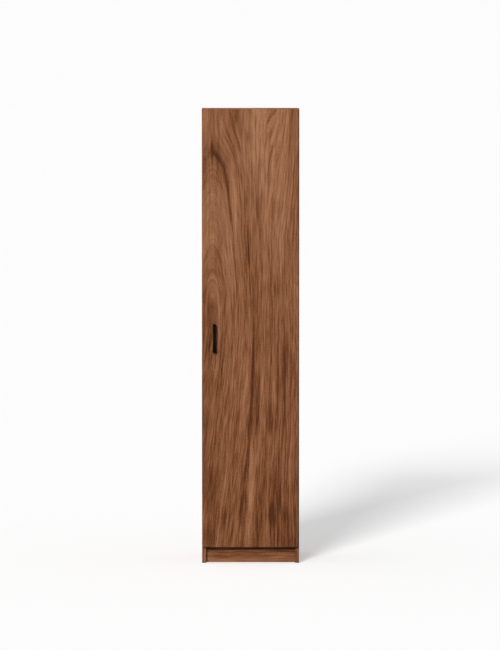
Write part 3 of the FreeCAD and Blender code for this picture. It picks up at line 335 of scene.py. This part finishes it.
def hardboard():
    material, shader, (x, y, z) = start_finish("hardboard")
    low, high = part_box("back_panel_lower")
    middle = (low[1] + high[1])/2
    behind = y.rise(middle, middle + 0.0002)
    grain = x.noise(x*60.0, y, z*1.6, 3.0, 0.6)*0.6 + x.noise(x*420.0, y, z*6.0, 1.0)*0.4
    foil = grain.ramp(
        (0.30, paint(104, 66, 44)), (0.50, paint(126, 83, 58)), (0.70, paint(143, 98, 70)))
    fibre = x.noise(x*500.0, y*500.0, z*500.0, 3.0, 0.7)
    bare = fibre.ramp(
        (0.30, paint(92, 62, 40)), (0.50, paint(120, 84, 56)), (0.72, paint(150, 112, 78)))
    behind.mix(foil, bare).feed(shader, "Base Color")
    (0.55 + behind*0.25 + (fibre - 0.5)*0.2).feed(shader, "Roughness")
    screen = (x*SCREEN_MESH).maths("SINE")*(z*SCREEN_MESH).maths("SINE")
    height = behind*(screen*0.5 + fibre) + (1.0 - behind)*grain*0.3
    height.relief(shader, 0.4, 0.0002)
    return material


dress(hardboard(), "back_panel_upper", "back_panel_lower")


# Handle: a bow pull of cast metal, finished in satin black powder paint.
# Two screws hold it from inside the door.
def black_paint():
    material, shader, (x, y, z) = start_finish("black_paint")
    fine = x.noise(x*2600.0, y*2600.0, z*2600.0, 2.0)
    worn = x.noise(x*120.0, y*120.0, z*60.0, 3.0, 0.6)
    worn.mix(paint(3, 3, 2), paint(9, 8, 8)).feed(shader, "Base Color")
    (0.50 + (worn - 0.5)*0.25 + (fine - 0.5)*0.08).feed(shader, "Roughness")
    fine.relief(shader, 0.25, 0.0001)
    shader.inputs["Specular IOR Level"].default_value = 0.03
    return material


dress(black_paint(), "handle")


# Hinges: pressed, nickel-plated steel. Each cup is let into the door, each arm sits on its plate,
# and two links on pins join them.
def nickel():
    material, shader, (x, y, z) = start_finish("nickel_plate")
    drawn = x.noise(x*900.0, y*900.0, z*9000.0, 2.0)
    cloud = x.noise(x*130.0, y*130.0, z*130.0, 3.0, 0.6)
    cloud.mix(paint(196, 192, 184), paint(222, 219, 212)).feed(shader, "Base Color")
    shader.inputs["Metallic"].default_value = 1.0
    (0.26 + (cloud - 0.5)*0.22 + (drawn - 0.5)*0.10).feed(shader, "Roughness")
    drawn.relief(shader, 0.12, 0.0001)
    return material


nickel_plate = nickel()
for number in (1, 2, 3, 4):
    for part in ("cup", "arm", "plate", "outer_link", "inner_link"):
        dress(nickel_plate, f"hinge_{part}_{number}")
dress(nickel_plate, "wall_bracket")


# Pins, screws, bolts and nails: zinc-plated steel, a little bluer and duller than the hinges.
# The cams that draw the bolts in are die-cast zinc, and greyer still.
def zinc(name, light, dark, roughness):
    material, shader, (x, y, z) = start_finish(name)
    cloud = x.noise(x*400.0, y*400.0, z*400.0, 3.0, 0.6)
    grit = x.noise(x*3000.0, y*3000.0, z*3000.0, 2.0)
    cloud.mix(dark, light).feed(shader, "Base Color")
    shader.inputs["Metallic"].default_value = 1.0
    ((cloud - 0.5)*0.3 + roughness).feed(shader, "Roughness")
    grit.relief(shader, 0.15, 0.0001)
    return material


zinc_plate = zinc("zinc_plate", paint(214, 217, 221), paint(168, 171, 178), 0.32)
dress(
    zinc_plate, "hinge_arm_pins", "hinge_cup_pins", "hinge_link_pins", "hinge_cup_screws",
    "hinge_plate_screws", "hinge_fixing_screws", "hinge_adjusting_screws", "handle_screws",
    "cam_bolts", "back_nails", "plinth_block_screws", "wall_bracket_screws", "shelf_pins")
dress(zinc("cast_zinc", paint(178, 178, 180), paint(132, 132, 136), 0.52), "cam_locks")


# Springs: two coils of hard-drawn wire on each cup's pin, one at each side of the outer link.
# They pull the door shut over its last degrees. All of them are set out from one coil, whose
# sizes are in metres, with its start measured from the cup's middle.
SPRING_START = 0.0055
SPRING_LENGTH = 0.0045
SPRING_TURNS = 4.5
SPRING_RADIUS = 0.00185
SPRING_WIRE = 0.0004


def spring_tree(material):
    """Tree that sets a coil on every point of a mesh."""
    tree = bpy.data.node_groups.new("hinge_spring_coils", "GeometryNodeTree")
    tree.interface.new_socket("Geometry", in_out="INPUT", socket_type="NodeSocketGeometry")
    for name in ("Turns", "Radius", "Length", "Wire"):
        tree.interface.new_socket(name, in_out="INPUT", socket_type="NodeSocketFloat")
    tree.interface.new_socket("Geometry", in_out="OUTPUT", socket_type="NodeSocketGeometry")
    entry = tree.nodes.new("NodeGroupInput")
    leave = tree.nodes.new("NodeGroupOutput")
    coil = tree.nodes.new("GeometryNodeCurveSpiral")
    coil.inputs["Resolution"].default_value = 24
    wire = tree.nodes.new("GeometryNodeCurvePrimitiveCircle")
    wire.inputs["Resolution"].default_value = 8
    sweep = tree.nodes.new("GeometryNodeCurveToMesh")
    sweep.inputs["Fill Caps"].default_value = True
    spread = tree.nodes.new("GeometryNodeInstanceOnPoints")
    real = tree.nodes.new("GeometryNodeRealizeInstances")
    coat = tree.nodes.new("GeometryNodeSetMaterial")
    coat.inputs["Material"].default_value = material
    for source, output, target, entrance in (
            (entry, "Turns", coil, "Rotations"),
            (entry, "Radius", coil, "Start Radius"),
            (entry, "Radius", coil, "End Radius"),
            (entry, "Length", coil, "Height"),
            (entry, "Wire", wire, "Radius"),
            (coil, "Curve", sweep, "Curve"),
            (wire, "Curve", sweep, "Profile Curve"),
            (entry, "Geometry", spread, "Points"),
            (sweep, "Mesh", spread, "Instance"),
            (spread, "Instances", real, "Geometry"),
            (real, "Geometry", coat, "Geometry"),
            (coat, "Geometry", leave, "Geometry")):
        tree.links.new(source.outputs[output], target.inputs[entrance])
    return tree


def bake(piece, tree, sizes):
    """Run a tree on a piece and keep the result as a plain mesh."""
    modifier = piece.modifiers.new(tree.name, "NODES")
    modifier.node_group = tree
    for item in tree.interface.items_tree:
        if item.in_out == "INPUT" and item.name in sizes:
            modifier[item.identifier] = sizes[item.name]
    bpy.context.view_layer.update()
    finished = piece.evaluated_get(bpy.context.evaluated_depsgraph_get())
    result = bpy.data.meshes.new_from_object(finished)
    piece.modifiers.clear()
    piece.data = result


def new_piece(name, points, faces=()):
    mesh = bpy.data.meshes.new(name)
    mesh.from_pydata(points, [], faces)
    piece = bpy.data.objects.new(name, mesh)
    bpy.context.scene.collection.objects.link(piece)
    return piece


low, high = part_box("hinge_cup_pins")
pin_x, pin_y = (low[0] + high[0])/2, (low[1] + high[1])/2
spring_points = []
for number in (1, 2, 3, 4):
    low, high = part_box(f"hinge_cup_{number}")
    middle = (low[2] + high[2])/2
    for start in (SPRING_START, -SPRING_START - SPRING_LENGTH):
        spring_points.append((pin_x, pin_y, middle + start))
springs = new_piece("hinge_springs", spring_points)
spring_wire = zinc("spring_steel", paint(150, 150, 152), paint(96, 96, 100), 0.34)
bake(springs, spring_tree(spring_wire), {
    "Turns": SPRING_TURNS, "Radius": SPRING_RADIUS, "Length": SPRING_LENGTH, "Wire": SPRING_WIRE})
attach(springs, "door")


# Plastic pieces, moulded: brown caps pressed over the cams, brown corner blocks screwed on behind
# the plinth, and black glides nailed under the sides.
def moulded(name, light, dark, roughness):
    material, shader, (x, y, z) = start_finish(name)
    grain = x.noise(x*1800.0, y*1800.0, z*1800.0, 2.0)
    cloud = x.noise(x*90.0, y*90.0, z*90.0, 2.0)
    cloud.mix(dark, light).feed(shader, "Base Color")
    ((grain - 0.5)*0.2 + roughness).feed(shader, "Roughness")
    grain.relief(shader, 0.3, 0.0001)
    return material


brown_plastic = moulded("brown_plastic", paint(106, 70, 48), paint(92, 58, 38), 0.55)
dress(brown_plastic, "cam_cover_caps", "plinth_blocks")
dress(moulded("black_plastic", paint(34, 33, 32), paint(24, 23, 22), 0.6), "foot_glides")


# Dowels: turned beech pegs with bevelled ends. They are glued halfway into the ends of the level
# panels and push into holes in the sides.
def beech():
    material, shader, (x, y, z) = start_finish("beech")
    grain = x.noise(x*25.0, y*700.0, z*700.0, 3.0, 0.6)
    colour = grain.ramp(
        (0.30, paint(176, 134, 92)), (0.50, paint(206, 168, 124)), (0.70, paint(222, 190, 150)))
    colour.feed(shader, "Base Color")
    (0.6 + (grain - 0.5)*0.2).feed(shader, "Roughness")
    grain.relief(shader, 0.3, 0.0002)
    return material


dress(beech(), "wood_dowels")


# Bumpers: soft domes of clear rubber, moulded and stuck to the door's back at its free edge.
# They touch the left side panel when the door is shut.
def clear_rubber():
    material, shader, (x, y, z) = start_finish("clear_rubber")
    cloud = x.noise(x*500.0, y*500.0, z*500.0, 2.0)
    cloud.mix(paint(226, 224, 216), paint(238, 237, 232)).feed(shader, "Base Color")
    (0.18 + cloud*0.12).feed(shader, "Roughness")
    shader.inputs["Transmission Weight"].default_value = 0.55
    shader.inputs["IOR"].default_value = 1.43
    return material


def dome(centre, radius, height, rings=10, sides=36):
    """Points and faces of a dome whose flat side faces -Y."""
    points = []
    for ring in range(rings):
        angle = math.pi/2*ring/rings
        spread = radius*math.cos(angle)**0.6
        for side in range(sides):
            turn = 2*math.pi*side/sides
            x, z = spread*math.cos(turn), -spread*math.sin(turn)
            points.append(centre + Vector((x, height*math.sin(angle), z)))
    faces = []
    for ring in range(rings - 1):
        for side in range(sides):
            after = (side + 1) % sides
            lower, upper = ring*sides, (ring + 1)*sides
            faces.append((lower + side, lower + after, upper + after, upper + side))
    points.append(centre + Vector((0, height, 0)))
    top = (rings - 1)*sides
    faces += [(top + side, top + (side + 1) % sides, len(points) - 1) for side in range(sides)]
    faces.append(tuple(reversed(range(sides))))
    return points, faces


low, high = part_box("door_bumpers")
bumper_points = []
bumper_faces = []
bumper_radius = (high[0] - low[0])/2
bumper_thickness = high[1] - low[1]
for height in (low[2] + bumper_radius, high[2] - bumper_radius):
    centre = Vector((low[0] + bumper_radius, low[1], height))
    points, faces = dome(centre, bumper_radius, bumper_thickness)
    bumper_faces += [tuple(corner + len(bumper_points) for corner in face) for face in faces]
    bumper_points += points
bumpers = new_piece("bumper_domes", bumper_points, bumper_faces)
bumpers.data.materials.append(clear_rubber())
for face in bumpers.data.polygons:
    face.use_smooth = len(face.vertices) < 5
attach(bumpers, "door")
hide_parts("door_bumpers")


# Studio: an endless pale floor, one soft lamp at the front left and a pale sky all round.
# Floor and sky look pale, but light the cupboard less than that, so its own colours stay plain.
FLOOR_REACH = 300.0
FLOOR_BOUNCE = 0.30
FLOOR_GLOW = 0.37
SKY_SEEN = 0.975
SKY_LEFT = 0.32
SKY_RIGHT = 0.22


def grey(value):
    return (value, value, value, 1.0)


def seen_directly(tree):
    """1 for what the camera sees, itself or in metal, glass and other gloss."""
    path = tree.nodes.new("ShaderNodeLightPath")
    seen = Shade(tree, path.outputs["Is Camera Ray"])
    seen = seen.most(Shade(tree, path.outputs["Is Glossy Ray"]))
    return seen.most(Shade(tree, path.outputs["Is Transmission Ray"]))


def floor_finish():
    material, shader, (x, y, z) = start_finish("studio_floor")
    seen = seen_directly(x.tree)
    seen.mix(grey(FLOOR_BOUNCE), grey(1.0)).feed(shader, "Base Color")
    seen.mix(grey(0.0), grey(FLOOR_GLOW)).feed(shader, "Emission Color")
    shader.inputs["Emission Strength"].default_value = 1.0
    shader.inputs["Roughness"].default_value = 0.9
    shader.inputs["Specular IOR Level"].default_value = 0.0
    return material


floor_corners = [
    (x*FLOOR_REACH, y*FLOOR_REACH, 0) for x, y in ((-1, -1), (1, -1), (1, 1), (-1, 1))]
floor = new_piece("studio_floor", floor_corners, [(0, 1, 2, 3)])
floor.data.materials.append(floor_finish())

world = bpy.data.worlds.new("studio")
bpy.context.scene.world = world
world.use_nodes = True
sky = world.node_tree.nodes["Background"]
compass = world.node_tree.nodes.new("ShaderNodeTexCoord")
split = world.node_tree.nodes.new("ShaderNodeSeparateXYZ")
world.node_tree.links.new(compass.outputs["Generated"], split.inputs[0])
side = Shade(world.node_tree, split.outputs["X"])
glow = side.rise(0.9, -0.9).mix(grey(SKY_RIGHT), grey(SKY_LEFT))
seen_directly(world.node_tree).mix(glow, grey(SKY_SEEN)).feed(sky, "Color")

key = bpy.data.lights.new("key", "SUN")
key.energy = 2.6
key.angle = math.radians(14)
lamp = bpy.data.objects.new("key", key)
lamp.rotation_euler = Vector((2.5, 8.8, -4.1)).to_track_quat("-Z", "Y").to_euler()
bpy.context.scene.collection.objects.link(lamp)


# Camera: 16 m in front and a little above the cupboard's top, with a long lens that isn't shifted.
# It is tipped down slightly, and from so far away the upright edges still look parallel.
CAMERA_TIP = 3.5
lens = bpy.data.cameras.new("camera")
lens.sensor_fit = "HORIZONTAL"
lens.sensor_width = 36.0
lens.lens = 281.27
lens.clip_end = 1000.0
camera = bpy.data.objects.new("camera", lens)
camera.location = (-0.0023, -16.0, 1.94)
camera.rotation_euler = (math.radians(90 - CAMERA_TIP), 0, 0)
bpy.context.scene.collection.objects.link(camera)
bpy.context.scene.camera = camera
bpy.context.scene.view_settings.view_transform = "Standard"
